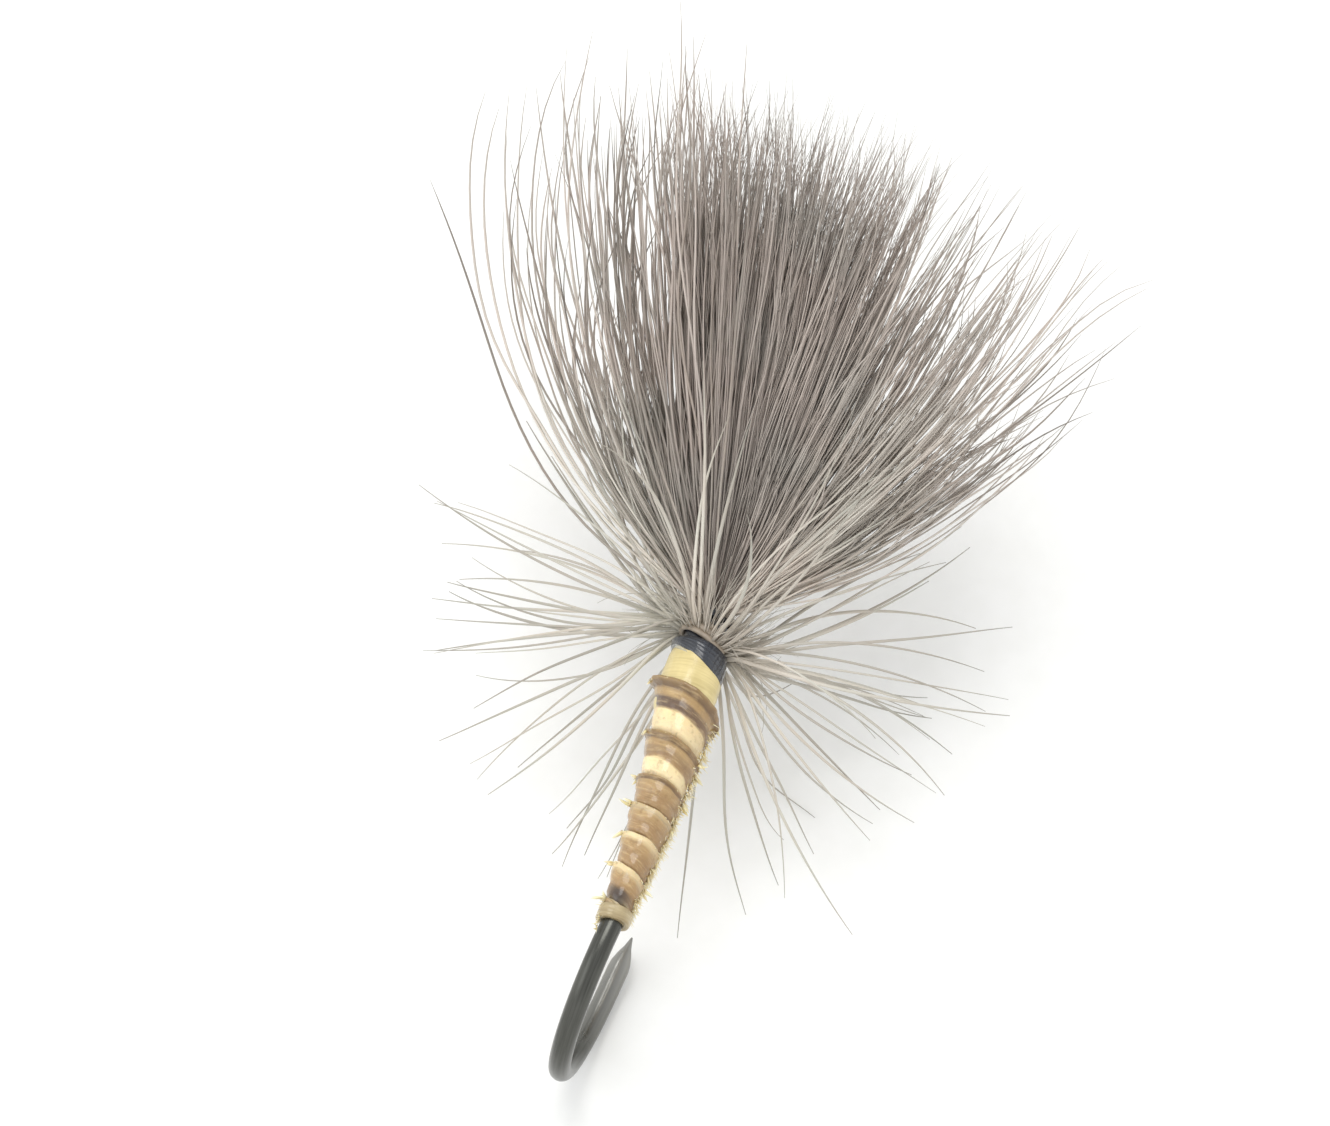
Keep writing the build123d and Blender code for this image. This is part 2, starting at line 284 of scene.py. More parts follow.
def quill_looks():
    """Across the strip: a golden rim, then tan, then a cream part, with painted shadow at its back edge and
    painted shade on the -Y side; some places are stained.

    The marks that build_quill makes say how much of each shows at a point.
    """
    m = Looks("quill", Coat_Weight=0.7, Coat_Roughness=0.09, Subsurface_Weight=0.10,
              Subsurface_Radius=(0.0003, 0.00015, 0.00006), Subsurface_Scale=1.0, Specular_IOR_Level=0.5)
    u, v, pale, lip = (m.attribute(name) for name in ("turns", "across", "pale", "lip"))
    purple, dark, aside = (m.attribute(name) for name in ("purple", "dark", "aside"))
    wander = m.math("SUBTRACT", m.noise(m.place(m.math("MULTIPLY", u, 3.1)), 1.0, 3.0, 0.6), 0.5)
    shifted = m.math("MULTIPLY_ADD", wander, 0.16, v)
    streak = m.noise(m.place(m.math("MULTIPLY", u, 8.0), m.math("MULTIPLY", v, 13.0)), 1.0, 5.0, 0.65)
    patch = m.noise(m.millimetres(), 1.9, 3.0)
    fleck = m.noise(m.millimetres(), 6.0, 4.0, 0.65)
    # the dark last stops of tan and cream are painted shadow, cast by the next turn's rim
    tan = m.ramp(
        shifted,
        (0.00, (0.20, 0.125, 0.045)),
        (0.04, (0.36, 0.250, 0.100)),
        (0.10, (0.21, 0.130, 0.045)),
        (0.15, (0.15, 0.085, 0.028)),
        (0.20, (0.43, 0.290, 0.120)),
        (0.34, (0.48, 0.330, 0.148)),
        (0.55, (0.38, 0.242, 0.102)),
        (0.86, (0.41, 0.268, 0.115)),
        (0.94, (0.26, 0.150, 0.055)),
        (1.00, (0.10, 0.055, 0.020)),
    )
    cream = m.ramp(v, (0.40, (0.74, 0.55, 0.28)), (0.55, (0.97, 0.81, 0.46)),
                   (0.86, (0.98, 0.86, 0.54)), (1.00, (0.50, 0.34, 0.14)))
    edge = m.math("MULTIPLY_ADD", streak, 0.16, shifted)
    reach = m.math("SUBTRACT", 1.15, m.math("MULTIPLY", pale, 0.58))
    shown = m.node("ShaderNodeMapRange", {"Value": m.math("SUBTRACT", edge, reach),
                                          "From Min": -0.03, "From Max": 0.04}).outputs[0]
    strip = m.mix(shown, tan, cream)
    line = m.ramp(shifted, (0.29, (0, 0, 0)), (0.34, (1, 1, 1)), (0.48, (1, 1, 1)), (0.54, (0, 0, 0)))
    lined = m.mix(m.math("MULTIPLY", line, m.math("MULTIPLY", purple, 0.9)), strip, (0.070, 0.034, 0.024))
    band = m.ramp(m.math("MULTIPLY_ADD", streak, 0.14, v), (0.20, (1, 1, 1)), (0.34, (0, 0, 0)))
    lipped = m.mix(m.math("MULTIPLY", band, lip), lined, (0.90, 0.76, 0.46))
    light = m.ramp(streak, (0.50, (0, 0, 0)), (0.68, (1, 1, 1)))
    streaked = m.mix(m.math("MULTIPLY", light, 0.40), lipped, (0.82, 0.64, 0.34))
    deep = m.ramp(fleck, (0.30, (1, 1, 1)), (0.46, (0, 0, 0)))
    flecked = m.mix(m.math("MULTIPLY", deep, 0.38), streaked, (0.19, 0.11, 0.035))
    # painted shade: the -Y side of each turn is mixed towards dark brown
    painted_side_shade = m.mix(m.math("MULTIPLY", aside, 0.42), flecked, (0.22, 0.125, 0.045))
    shaded = m.mix(m.math("MULTIPLY", dark, 0.95), painted_side_shade, (0.034, 0.020, 0.016))
    warm = m.ramp(patch, (0.35, (0.76, 0.665, 0.57)), (0.65, (0.885, 0.82, 0.75)))
    m.drive("Base Color", m.mix(0.7, shaded, warm, "MULTIPLY"))
    m.roughness(streak, 0.26, 0.50)
    m.bump(m.math("ADD", m.math("MULTIPLY", fleck, 1.4), streak), 0.022, 0.8)
    return m.material


def fringe_looks():
    """Stubs of stripped barbs, tan at the root and pale yellow at the end."""
    m = Looks("quill_fringe", Coat_Weight=0.4, Coat_Roughness=0.15, Subsurface_Weight=0.3,
              Subsurface_Radius=(0.0003, 0.0002, 0.0001), Subsurface_Scale=1.0)
    colour = m.ramp(m.attribute("along"), (0.0, (0.45, 0.32, 0.13)), (0.3, (0.82, 0.70, 0.38)),
                    (1.0, (0.93, 0.87, 0.60)))
    tint = m.ramp(m.attribute("tone"), (0.1, (0.86, 0.78, 0.68)), (0.7, (1, 1, 1)))
    m.drive("Base Color", m.mix(0.8, colour, tint, "MULTIPLY"))
    m.roughness(m.attribute("tone"), 0.30, 0.55)
    return m.material


def fibre_looks(name, stops, dim, rough, side_glow_colour=None):
    """Hair or feather barbs: a colour from root to tip, some fibres darker, and painted glow making some
    paler near the root.
    """
    m = Looks(name, Specular_IOR_Level=0.42)
    colour = m.ramp(m.attribute("along"), *stops)
    if side_glow_colour:
        low = m.ramp(m.attribute("along"), (0.25, (1, 1, 1)), (0.75, (0.1, 0.1, 0.1)))
        # painted glow: hairs at the fan's sides are mixed towards a pale colour near their roots
        colour = m.mix(m.math("MULTIPLY", m.attribute("side_glow"), low), colour, side_glow_colour)
    tint = m.ramp(m.attribute("tone"), (0.0, (dim, dim, dim)), (1.0, (1, 1, 1)))
    mottle = m.noise(m.millimetres(), 0.45, 3.0)
    hue = m.ramp(mottle, (0.38, (1.0, 0.95, 0.92)), (0.62, (0.97, 0.975, 0.955)))
    m.drive("Base Color", m.mix(1.0, m.mix(1.0, colour, tint, "MULTIPLY"), hue, "MULTIPLY"))
    m.roughness(mottle, rough, rough + 0.2)
    return m.material


def varnish_looks():
    """Clear varnish, a little cloudy."""
    m = Looks("varnish", Base_Color=(0.58, 0.60, 0.58, 1), Alpha=0.38, IOR=1.5, Coat_Weight=0.6,
              Coat_Roughness=0.06)
    m.roughness(m.noise(m.millimetres(), 9.0), 0.08, 0.22)
    return m.material


def stem_looks():
    """The stem of the hackle feather, streaked lengthwise."""
    m = Looks("feather_stem", Coat_Weight=0.3, Coat_Roughness=0.2)
    line = m.noise(m.place(m.math("MULTIPLY", m.attribute("along"), 30.0)), 1.0, 3.0)
    cloud = m.noise(m.millimetres(), 3.0)
    m.drive("Base Color", m.ramp(m.math("MULTIPLY_ADD", line, 0.5, m.math("MULTIPLY", cloud, 0.5)),
                                 (0.35, (0.20, 0.155, 0.11)), (0.65, (0.42, 0.35, 0.27))))
    m.roughness(cloud, 0.35, 0.55)
    m.bump(line, 0.01, 0.6)
    return m.material


def paper_looks():
    """White paper with a faint grain."""
    m = Looks("paper", Specular_IOR_Level=0.15)
    grain = m.noise(m.millimetres(), 0.9, 4.0, 0.55)
    m.drive("Base Color", m.ramp(grain, (0.3, (0.895, 0.895, 0.875)), (0.7, (0.925, 0.925, 0.91))))
    m.roughness(grain, 0.75, 0.9)
    m.bump(m.noise(m.millimetres(), 2.4, 5.0, 0.6), 0.02, 0.25)
    return m.material


nickel = nickel_looks()
black_thread = thread_looks("black_thread", (0.004, 0.005, 0.009), (0.022, 0.028, 0.042), 26.0, 0.14, 0.8)
pale_thread = thread_looks("pale_thread", (0.25, 0.18, 0.085), (0.52, 0.425, 0.24), 16.0, 0.30, 0.4)
yellow_floss = thread_looks("yellow_floss", (0.53, 0.42, 0.165), (0.80, 0.665, 0.315), 18.0, 0.24, 0.6)
quill = quill_looks()
fringe = fringe_looks()
varnish = varnish_looks()
stem = stem_looks()
barb = fibre_looks("hackle_barb", ((0.0, (0.60, 0.56, 0.48)), (0.25, (0.73, 0.70, 0.63)),
                                   (0.8, (0.53, 0.51, 0.45)), (1.0, (0.36, 0.34, 0.295))), 0.66, 0.30)
# the fur is darker towards its roots: painted shade, where the hairs lie dense and shade one another low in
# the wing
fur = fibre_looks("wing_fur", ((0.0, (0.24, 0.206, 0.182)), (0.25, (0.40, 0.357, 0.325)),
                               (0.55, (0.56, 0.508, 0.465)), (0.8, (0.56, 0.508, 0.465)),
                               (1.0, (0.36, 0.312, 0.276))), 0.74, 0.42, (0.76, 0.71, 0.64))
guard = fibre_looks("guard_hair", ((0.0, (0.62, 0.57, 0.51)), (0.35, (0.42, 0.375, 0.33)),
                                   (1.0, (0.22, 0.19, 0.165))), 0.6, 0.32)


# ---------------------------------------------------------------- hook

BEND_OFFSET = 7.0  # degrees by which the bend is turned sideways from the shank, to +Y
BEND_SWEEP = 188.0  # degrees from the end of the shank round to the start of the leg
LEG = 1.5  # the leg from the bend to the point


def hook_path(back, wire, ring):
    """The middle of the wire, from the eye ring along the shank and round the bend to the point."""
    offset = math.radians(BEND_OFFSET)
    bend = (-FLOOR_Z - wire) / 2
    bend_x = back + bend * math.cos(offset) + wire
    shank = [(x, 0.0) for x in np.linspace(-ring, bend_x, 60)[:-1]]
    sweep = np.radians(np.linspace(0, BEND_SWEEP, 72))
    curve = [(bend_x - bend * math.sin(a), -bend + bend * math.cos(a)) for a in sweep]
    # the leg rises at 8 degrees, and at 13 beyond its elbow
    steps = 34
    lift = np.radians(8 + 5 * np.clip((np.linspace(0, LEG, steps) - 0.55) / 0.3, 0, 1))
    way = np.stack([np.cos(lift), np.sin(lift)], 1)
    leg = np.array(curve[-1]) + np.cumsum(way * (LEG / steps), axis=0)
    line = np.array(shank + curve + [tuple(point) for point in leg])
    path = np.stack([line[:, 0], 0 * line[:, 0], line[:, 1]], 1)
    beyond = path[len(shank):, 0] - bend_x
    path[len(shank):, 0] = bend_x + math.cos(offset) * beyond
    path[len(shank):, 1] = -math.sin(offset) * beyond
    return path


def build_hook():
    """The wire: eye ring, straight shank, round bend turned to +Y, and a ground barbless point."""
    low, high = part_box("hook")
    wire = high.z / MM
    eye_wire = 0.77 * wire
    ring = high.y / MM - eye_wire
    path = hook_path(low.x / MM, wire, ring)
    neck, ground = 10, 20  # rings where the wire is thinner, next to the eye and at the point
    radius = np.full(len(path), wire)
    radius[:neck] = np.linspace(eye_wire, wire, neck)
    # the point is ground to a short needle
    along = np.arange(ground) / (ground - 1)
    radius[-ground:] = wire * np.interp(along, [0, 0.2, 0.45, 0.7, 1], [1, 0.94, 0.70, 0.36, 0.08])
    sides = 40
    turn = np.linspace(0, 2 * np.pi, 97)[:-1]
    eye_path = np.stack([ring * np.cos(turn), ring * np.sin(turn), 0 * turn], 1)
    wire_points = tubes(path[None], radius[None], sides, 1.0, (0, 1, 0))
    length = np.concatenate([[0], np.cumsum(np.linalg.norm(np.diff(path, axis=0), axis=1))])
    around = np.broadcast_to(np.arange(sides) / sides, (len(path), sides))
    place = np.broadcast_to(length[:, None], (len(path), sides))
    # the eye closes on itself, so its rings are placed one by one
    out = unit(eye_path)
    spin = np.arange(sides) * 2 * np.pi / sides
    eye_points = (
        eye_path[:, None]
        + eye_wire * np.cos(spin)[None, :, None] * out[:, None]
        + eye_wire * np.sin(spin)[None, :, None] * np.array([0, 0, 1.0])
    )
    faces = tube_faces(1, len(path), sides)
    start, rows = len(path) * sides, len(turn)
    for i in range(rows):
        a, b = start + i * sides, start + ((i + 1) % rows) * sides
        faces += [(a + j, b + j, b + (j + 1) % sides, a + (j + 1) % sides) for j in range(sides)]
    points = np.concatenate([wire_points.reshape(-1, 3), eye_points.reshape(-1, 3)])
    eye_around = np.broadcast_to(np.arange(sides) / sides, (rows, sides))
    eye_place = np.broadcast_to((turn * ring)[:, None], (rows, sides))
    add_piece(
        "hook_wire", points, faces, nickel, "black_nickel_wire", ("hook",),
        around=np.concatenate([around.ravel(), eye_around.ravel()]),
        place=np.concatenate([place.ravel(), eye_place.ravel()]),
    )


# ---------------------------------------------------------------- body

FRONT_R, REAR_R = 0.73, 0.335  # radius of the body at the quill's two ends
TURNS = 6.4  # turns of the quill
START_TURN = -math.pi / 2  # the strip first shows on the +Y side and goes back over the top
RUN_IN = 0.3  # turns over which each end of the strip sinks into the body
SINK = 0.22  # how deep the ends sink
quill_front, quill_back, _ = span("quill_body")


def strip_x(u):
    """Where the strip's front edge is after u turns: wide turns in front and narrower ones behind."""
    turns = [-1, 0, 1, 2, 3, 4, 5, 6, 7.4]
    edges = [1.6, 0.41, -0.88, -2.04, -2.76, -3.47, -4.26, -5.14, -6.4]
    waver = 0.09 * np.sin(2 * np.pi * u) * np.exp(-np.clip(u, 0, None) / 3)
    return quill_front + np.interp(u, turns, edges) + waver


def body_radius(x):
    share = np.clip((quill_front + 0.3 - x) / (quill_front + 0.3 - quill_back), 0, 1)
    return FRONT_R + (REAR_R - FRONT_R) * share


def fuller(x):
    """How far the body is moved to -Y: it is wound fuller on that side, most of all in its middle."""
    share = (body_radius(x) - REAR_R) / (FRONT_R - REAR_R)
    return 0.05 * share + 0.09 * np.sin(np.pi * share)


def rim_height(u):
    """How far the rim stands out: a flange on the first turn, a low lip on the last ones."""
    return np.interp(u, [0, 0.6, 1, 2, 3, 6], [0.24, 0.19, 0.13, 0.075, 0.055, 0.045])


def outward(turn):
    """The direction away from the shank at an angle round it, and the one along the winding."""
    out = np.stack([0 * turn, -np.sin(turn), np.cos(turn)], -1)
    side = np.stack([0 * turn, -np.cos(turn), -np.sin(turn)], -1)
    return out, side


def build_quill():
    """Each turn flares to a rim in front and drops to a groove behind, like a stack of cups."""
    # across the strip from its front edge: the rim's height, as a share, and the strip's own crown
    across = [0.0, 0.012, 0.035, 0.08, 0.12, 0.16, 0.27, 0.40, 0.46, 0.52, 0.65, 0.80, 0.92, 1.0]
    rim = [0.0, 0.75, 1.0, 0.97, 0.70, 0.30, 0.10, 0.04, 0.02, 0, 0, 0, 0, 0]
    strip = [-0.06, 0.0, 0.0, 0.0, 0.0, 0.02, 0.035, 0.030, 0.020, -0.005, 0.0, -0.005, -0.03, -0.08]
    rows_per_turn = 100
    u = np.linspace(-RUN_IN, TURNS, int((TURNS + RUN_IN) * rows_per_turn))[:, None]
    v = np.array(across)[None, :]
    width = strip_x(u) - strip_x(u + 1)
    x = strip_x(u) - v * width * 1.03 + 0.018 * np.sin(9.0 * u + 5 * v) + 0.010 * np.sin(31 * u + 2 * v)
    x = np.maximum(x, quill_back - 0.03)  # the last turn runs out under the tail winding
    ripple = 0.09 * np.sin(23 * u) + 0.06 * np.sin(61 * u + 2) + 0.05 * np.sin(113 * u + 1)
    rise = rim_height(u) * np.array(rim)[None, :] * (1 + ripple) + np.array(strip)[None, :]
    r = body_radius(x) + rise + 0.010 * np.sin(17 * u + 9 * v) * np.sin(41 * u)
    start, end = np.clip((u + RUN_IN) / RUN_IN, 0, 1), np.clip((TURNS - u) / RUN_IN, 0, 1)
    r = r - SINK * (1 - start * end)
    turn = 2 * np.pi * u + START_TURN
    out, _ = outward(turn + 0 * v)
    points = r[..., None] * out + x[..., None] * np.array([1.0, 0, 0])
    points[..., 1] -= fuller(x)
    rows, columns = points.shape[:2]
    marks = {
        # cream along the back of the strip, cream on its rim, a purple line, and a dark stain
        "pale": np.interp(u, [0, 0.9, 1.1, 1.4, 1.9, 2.3, 4.2, 5.0, 5.4, 6],
                          [1, 0.95, 0.85, 0.8, 0.35, 0, 0, 0.2, 0.5, 0.3]),
        "lip": np.interp(u, [0, 2.7, 3.1, 3.6, 4.0, 4.6, 5.0, 5.6, 6.0],
                         [0, 0, 0.6, 0.5, 1, 0.9, 1, 0.8, 0.2]),
        "purple": np.interp(u, [0, 0.3, 0.7, 1.0, 1.6, 2.2], [1, 0.9, 0.5, 0.35, 0.25, 0]),
        "dark": np.exp(-((u - 5.22) / 0.20) ** 2) * np.clip((v - 0.52) / 0.14, 0, 1),
        # painted shade, darker on the -Y side
        "aside": np.clip(np.sin(turn), 0, 1) ** 2,
        "turns": u,
        "across": v,
    }
    marks = {key: np.broadcast_to(values, (rows, columns)) for key, values in marks.items()}
    faces = sheet_faces(rows, columns)
    add_piece("quill_windings", points, faces, quill, "quill", ("quill_body",), **marks)


def build_fringe():
    """Stubs of the stripped barbs: bold ones on the rim at both sides, and a fine halo on one side."""
    near_count, halo_count, rim_count = 20, 760, 200
    # a whole number of turns is on the +Y side, and half a turn more is on the -Y side
    far = np.concatenate([np.arange(7), np.arange(2, 7)])
    far = far + draw.normal(0.0, 0.035, len(far))
    near = draw.integers(0, 7, near_count) + draw.normal(0.51, 0.05, near_count)
    fuzz = np.floor(draw.uniform(0, TURNS, halo_count)) + draw.normal(0.545, 0.05, halo_count)
    rim = draw.uniform(0.0, TURNS - 0.1, rim_count)
    u = np.clip(np.concatenate([far, near, fuzz, rim]), 0, TURNS - RUN_IN)
    count, rings = len(u), 6
    order = np.arange(count)
    bold = order < len(far) + near_count
    halo = ~bold & (order < len(far) + near_count + halo_count)
    turn = 2 * np.pi * u + START_TURN
    aside = np.sin(turn)  # 1 on the -Y side, -1 on the +Y side
    reach = np.clip(np.abs(aside) - 0.45, 0, 1) * 1.5 + 0.08
    bold_length, halo_length = draw.uniform(0.18, 0.36, count), draw.uniform(0.12, 0.32, count)
    length = np.where(bold, bold_length, np.where(halo, halo_length, 0.13)) * reach
    v = np.where(halo, draw.uniform(0.02, 0.95, count), 0.04)
    x0 = strip_x(u) - v * (strip_x(u) - strip_x(u + 1))
    out, side = outward(turn)
    lean = np.radians(42 + 10 * aside + draw.normal(0, 24, count))
    slip = draw.normal(0, 0.4, count)
    way = out * np.cos(lean)[:, None] + side * slip[:, None]
    way[:, 0] -= np.sin(lean)
    way = unit(way)
    s = np.linspace(0, 1, rings)[None, :, None]
    root = out * (body_radius(x0) + np.where(halo, 0.3, 0.8) * rim_height(u))[:, None]
    root[:, 0] = x0
    root[:, 1] -= fuller(x0)
    curl = draw.normal(0, 0.3, (count, 1, 1))
    grown = length[:, None, None]
    paths = root[:, None] + way[:, None] * s * grown + side[:, None] * curl * s**2 * grown
    taper = np.array([1.0, 0.95, 0.85, 0.7, 0.45, 0.12])
    radii = (np.where(bold, 0.045, 0.013) * draw.uniform(0.7, 1.3, count))[:, None] * taper[None]
    strands("quill_fringe", paths, radii, 5, fringe, "quill", flatten=0.7)


def build_collar():
    """The floss: a smooth pale collar in front, and under the quill a plain cone."""
    front, _, radius = span("floss_underbody")
    back = quill_back + 0.1
    start = front + 0.45  # it runs on under the band, whose back edge is slanted
    xs = [start, start, front + 0.2, front - 0.25, front - 0.55,
          quill_front - 0.15, quill_front - 0.6, back, back]
    rise = [-0.04, 0.02, 0.05, 0.055, 0.02, -0.17]
    rs = [0.3, *(radius + r for r in rise), 0.22, 0.21]
    fine = np.linspace(0, len(xs) - 1, 61)
    fine_x = np.interp(fine, range(len(xs)), xs)
    fine_r = np.interp(fine, range(len(rs)), rs)
    turned_piece("floss_body", fine_x, fine_r, yellow_floss, "yellow_floss", ("floss_underbody",),
                 wobble=0.006, seed=1.0)


def wound_ring(name, node, turns, material, slot, ridge, round_off, wobble, seed, slant=(0.0, 0.0)):
    """A band of thread, rounded at both shoulders and ridged by its windings.

    Its front and back ends may slant, each by its own share.
    """
    front, back, radius = span(node)
    inner = 0.62 * radius
    share = np.linspace(0, 1, 10 * turns + 1)
    shoulder = np.clip(1 - np.abs(2 * share - 1) ** 3.5, 0, 1)
    outer = radius - round_off * (1 - shoulder) + ridge * (np.abs(np.sin(np.pi * turns * share)) - 1)
    x = np.concatenate([[front], front + (back - front) * share, [back]])
    r = np.concatenate([[inner], outer, [inner]])
    lean = np.interp(x, [back, front], [slant[1], slant[0]])
    turned_piece(name, x, r, material, slot, (node,), wobble, seed, lean)


def build_windings():
    """The bands of thread from the tie-off to the whip finish, the tail winding, and the varnish."""
    black, pale = (black_thread, "black_thread"), (pale_thread, "pale_thread")
    wound_ring("tie_off_band", "body_tie_off", 6, *black,
               ridge=0.008, round_off=0.07, wobble=0.008, seed=0.4, slant=(0.06, BAND_SLANT))
    wound_ring("wing_lashing_thread", "wing_lashing", 4, *black,
               ridge=0.02, round_off=0.08, wobble=0.010, seed=1.4)
    wound_ring("wing_prop_thread", "wing_prop_wraps", 3, *black,
               ridge=0.02, round_off=0.06, wobble=0.008, seed=2.0)
    wound_ring("head_thread", "head_wraps", 4, *black,
               ridge=0.018, round_off=0.10, wobble=0.008, seed=2.6)
    wound_ring("whip_finish_thread", "whip_finish", 2, *black,
               ridge=0.012, round_off=0.02, wobble=0.004, seed=3.1)
    wound_ring("tail_thread", "tail_lashing", 3, *pale,
               ridge=0.010, round_off=0.012, wobble=0.016, seed=4.0)
    front, back, radius = span("band_varnish")
    x = [front + 0.03, front + 0.01, front - 0.02, front - 0.05, back + 0.03, back + 0.05]
    r = [radius - 0.08, radius - 0.03, radius - 0.028, radius - 0.035, radius - 0.05, radius - 0.08]
    turned_piece("band_varnish_rim", x, r, varnish, "varnish", ("band_varnish",),
                 wobble=0.006, seed=0.4, slant=BAND_SLANT)
    front, back, radius = span("head_cement")
    x = [front, front, (front + back) / 2, back, back]
    r = [0.22, 0.27, 0.31, radius, 0.24]
    turned_piece("head_varnish", x, r, varnish, "varnish", ("head_cement",), wobble=0.006, seed=5.0)


# ---------------------------------------------------------------- hackle

BARB_RINGS = 26
BARB_THICK = 0.046
BARB_REST = 0.04  # how far a barb's middle stays above the floor
BARB_BEND = 1.8  # the height above that at which it starts to bend along the floor
stem_front, stem_back, stem_radius = span("hackle_stem")


def build_stem():
    """The feather's stem, wound in three turns side by side."""
    thick = 0.078
    turns = 3.0
    u = np.linspace(0, turns, 200)
    out, _ = outward(2 * np.pi * u + 1.0)
    reach = stem_radius - thick + 0.012 * np.sin(7 * u)
    path = out * reach[:, None]
    wound = (stem_front - stem_back - 2 * thick) * u / turns
    path[:, 0] = stem_front - thick - wound + HACKLE_SLANT * out[:, 1]
    radius = thick * (1 + 0.12 * np.sin(11 * u))
    strands("hackle_stem_turns", path[None], radius[None], 14, stem, "feather_stem", ("hackle_stem",),
            across=(1, 0, 0))


def barb_paths(around, rake, length, droop, rings=BARB_RINGS, loose=0.24):
    """Barbs from the stem: around is the angle round the shank, and rake is how far they lean forward.

    Droop adds to the rake along the barb, and loose is how much barbs stray to the side. A barb
    that comes down to the floor bends and runs on along it.
    """
    count = len(around)
    out, side = outward(around)
    root = out * (stem_radius - 0.05)
    root[:, 0] = draw.uniform(stem_back + 0.08, stem_front - 0.08, count) + HACKLE_SLANT * out[:, 1]
    swing = draw.normal(0, loose, count)
    wave = draw.normal(0, 0.04, count)
    step = length / (rings - 1)
    here, paths = root.copy(), [root.copy()]
    for s in np.linspace(0, 1, rings)[1:]:
        # it leaves the stem nearly square and sweeps over to its rake in the first fifth
        lean = rake * (0.55 + 0.45 * min(s / 0.2, 1)) + droop * (s - 0.3)
        turned = swing * s + wave * np.sin(9 * s)
        way = out * np.cos(lean)[:, None] + side * turned[:, None]
        way[:, 0] += np.sin(lean)
        way = unit(way)
        height = here[:, 2] - FLOOR_Z - BARB_REST
        way[:, 2] = np.where(way[:, 2] < 0, way[:, 2] * np.clip(height / BARB_BEND, 0, 1), way[:, 2])
        here = here + unit(way) * step[:, None]
        paths.append(here.copy())
    return np.stack(paths, axis=1)


def build_barbs():
    """Sectors round the shank; the barbs above lean forward over the wing, the others spread."""
    profile = np.interp(np.linspace(0, 1, BARB_RINGS), [0, 0.1, 0.6, 1], [0.85, 1.0, 0.7, 0.16])
    # name, node, count, angles from and to, and the rake with its spread, in degrees
    sectors = (
        ("hackle_barbs_top", "hackle_top_barbs", 30, (-98, 98), (46, 15)),
        ("hackle_barbs_left", "hackle_left_barbs", 20, (-124, -72), (-2, 26)),
        ("hackle_barbs_right", "hackle_right_barbs", 20, (72, 124), (-2, 26)),
        ("hackle_barbs_under", "hackle_foot_barbs", 26, (120, 240), (-22, 30)),
    )
    for name, node, count, (first, last), (mean, spread) in sectors:
        share = np.linspace(-1, 1, count)
        more = {}
        if node == "hackle_top_barbs":
            share = np.sign(share) * np.abs(share) ** 0.7  # fewer stand straight up over the wing
            more = {"loose": 0.42}
        around = np.radians((first + last) / 2 + (last - first) / 2 * share + draw.normal(0, 7, count))
        if node == "hackle_foot_barbs":
            mean = mean - 26 * np.clip(share, 0, 1)  # those below on the +Y side lean further back
        rake = np.radians(np.clip(draw.normal(mean, spread, count), -62, 70))
        length = draw.uniform(5.2, 7.1, count)
        droop = draw.normal(0.0, 0.42, count)
        paths = barb_paths(around, rake, length, droop, **more)
        radii = (BARB_THICK * draw.uniform(0.75, 1.25, count))[:, None] * profile[None]
        strands(name, paths, radii, 6, barb, "hackle_barb", (node,))
    # the soft web at the foot of the barbs
    count, rings = 240, 12
    around = np.radians(draw.uniform(-130, 130, count))
    rake = np.radians(np.clip(draw.normal(30, 26, count), -40, 75))
    length, droop = draw.uniform(0.7, 2.4, count), draw.normal(0, 0.8, count)
    paths = barb_paths(around, rake, length, droop, rings)
    radii = (0.016 * draw.uniform(0.6, 1.3, count))[:, None] * np.linspace(1, 0.2, rings)[None]
    strands("hackle_web", paths, radii, 4, barb, "hackle_barb")


# ---------------------------------------------------------------- wing

WING_LEAN = 8.0  # degrees by which the fan leans to +Y
lash_front, lash_back, lash_radius = span("wing_lashing")


def fur_paths(heading, lift, length, curl, rings):
    """Hairs of the fan: their curl spreads them at the lashing and turns them back towards its middle.

    Heading and lift are angles to the side, towards +Y, and upwards.
    """
    count = len(heading)
    s = np.linspace(0, 1, rings)[None, :]
    off = (heading - np.radians(WING_LEAN))[:, None]
    # each hair bows a little, waves twice or so, and flicks to one side at its tip
    bow = draw.normal(0, 0.07, count)[:, None]
    flick = draw.normal(0, 0.20, count)[:, None] * np.clip((s - 0.6) / 0.4, 0, 1) ** 1.5
    wave = draw.normal(0, 0.085, (2, count))[:, :, None] * np.sin(
        2 * np.pi * (draw.uniform(0.8, 2.6, count)[:, None] * s + draw.random(count)[:, None])
    )
    turn = np.radians(WING_LEAN) + off * (1 + curl[:, None] * (0.5 - s)) + bow * (s - 0.3) + flick + wave[0]
    # it stands up steeply where the lashing pinches it, and sags slightly further out
    rise = lift[:, None] + 0.42 * np.exp(-s / 0.045) - 0.10 * (s - 0.4) + wave[1]
    way = np.stack([np.cos(turn) * np.cos(rise), np.sin(turn) * np.cos(rise), np.sin(rise)], -1)
    step = way * (length / (rings - 1))[:, None, None]
    start = np.stack(
        [
            draw.uniform(lash_back + 0.1, lash_front - 0.03, count),
            0.30 * np.clip(off[:, 0] / 0.6, -1, 1) + draw.normal(0, 0.035, count),
            lash_radius - 0.13 + 0.10 * (lift - 0.2) + draw.uniform(-0.07, 0.06, count),
        ],
        1,
    )
    return start[:, None] + np.cumsum(step, axis=1) - step[:, :1]


def hair_profile(rings):
    """How thick a hair is along its length, as a share."""
    return np.interp(np.linspace(0, 1, rings), [0, 0.1, 0.75, 0.92, 1.0], [0.8, 1.0, 0.85, 0.5, 0.12])


